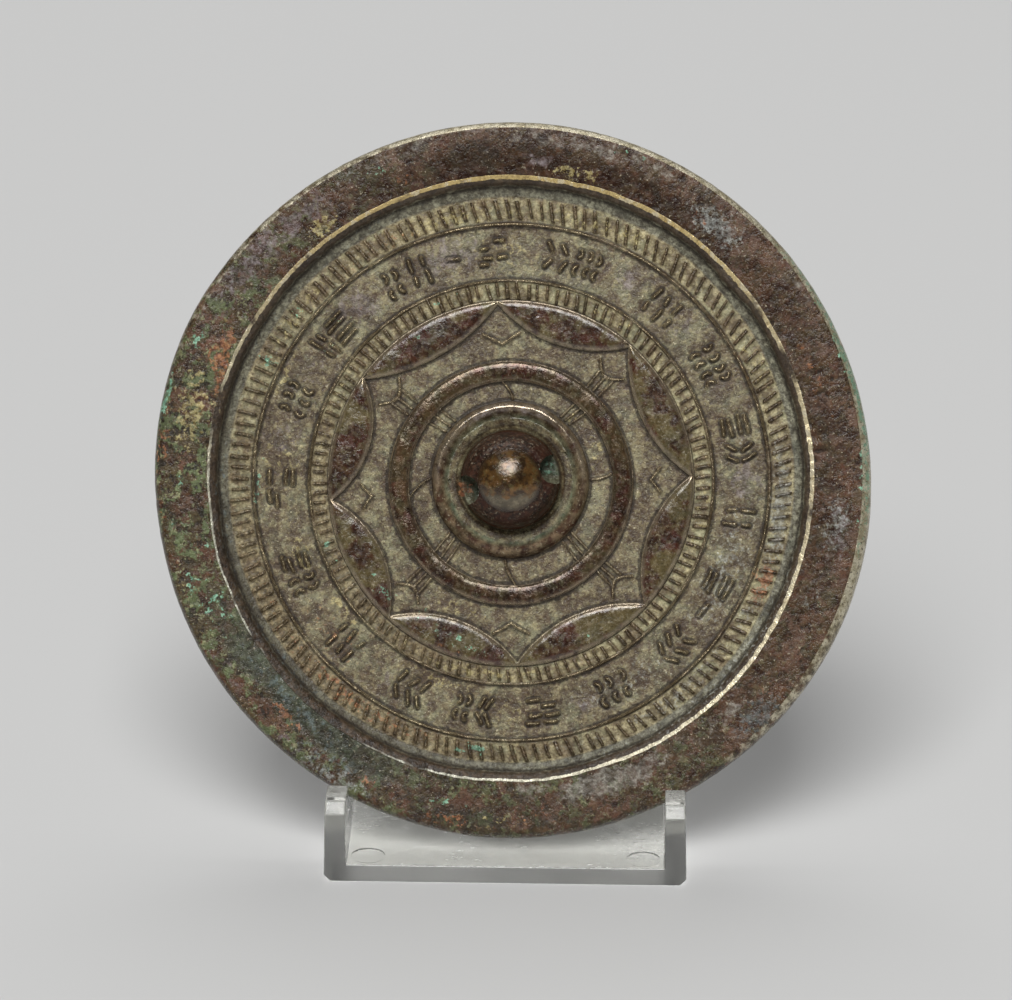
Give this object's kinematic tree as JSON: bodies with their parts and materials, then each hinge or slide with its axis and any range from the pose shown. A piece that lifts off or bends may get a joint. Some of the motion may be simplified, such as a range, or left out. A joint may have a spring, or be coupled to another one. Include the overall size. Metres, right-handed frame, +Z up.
{
  "type": "bronze mirror in a clear stand",
  "caption": "Small round cast bronze mirror with a pierced knob, linked arcs, comb bands and a wide plain rim, leaning back in a clear plastic stand.",
  "frame": {"origin": "on the surface that the stand rests on, under the middle of the whole object's box", "axes": "+Z up, +X to the right as the decorated side is seen, +Y to the back, the way the mirror leans"},
  "size_m": [0.078, 0.0362, 0.0755],
  "materials": {
    "bronze": "patinated cast bronze, dark brown and olive, with blue-green and red spots",
    "clear_plastic": "clear moulded plastic, glossy"
  },
  "bodies": {
    "root": {"mirror": "bronze", "stand": "clear_plastic"}
  },
  "joints": []
}
